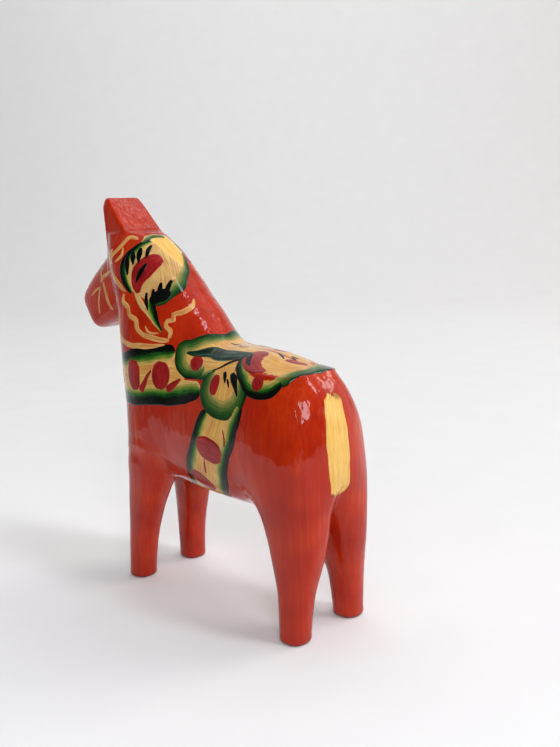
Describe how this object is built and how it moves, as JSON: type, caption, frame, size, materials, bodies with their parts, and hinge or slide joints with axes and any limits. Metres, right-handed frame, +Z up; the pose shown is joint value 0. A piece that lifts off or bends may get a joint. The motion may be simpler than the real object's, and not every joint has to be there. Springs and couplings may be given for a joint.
{
  "type": "painted wooden dala horse",
  "caption": "Carved wooden dala horse standing on four straight legs, with red lacquer, painted flowers, harness bands and a yellow tail stroke.",
  "frame": {"origin": "centre of the bounding box in X and Y, on the plane of the four soles", "axes": "+Z up, -Y the way the horse faces, +X its left flank"},
  "size_m": [0.0344, 0.1188, 0.13],
  "materials": {
    "red_lacquered_pine": "carved pine, orange-red ground paint, clear gloss lacquer",
    "cream_paint": "brushed cream paint film under gloss lacquer",
    "green_paint": "brushed green paint film shaded to black, under gloss lacquer",
    "ochre_paint": "brushed ochre paint film under gloss lacquer",
    "yellow_paint": "flat-brushed warm yellow paint film"
  },
  "bodies": {
    "root": {"carved_body": "red_lacquered_pine", "saddle_flowers": "cream_paint", "breast_band": "cream_paint", "girth_band_left": "green_paint", "girth_band_right": "green_paint", "neck_flower_left": "ochre_paint", "neck_flower_right": "ochre_paint", "bridle_left": "yellow_paint", "bridle_right": "yellow_paint", "tail_stroke": "yellow_paint"}
  },
  "joints": []
}
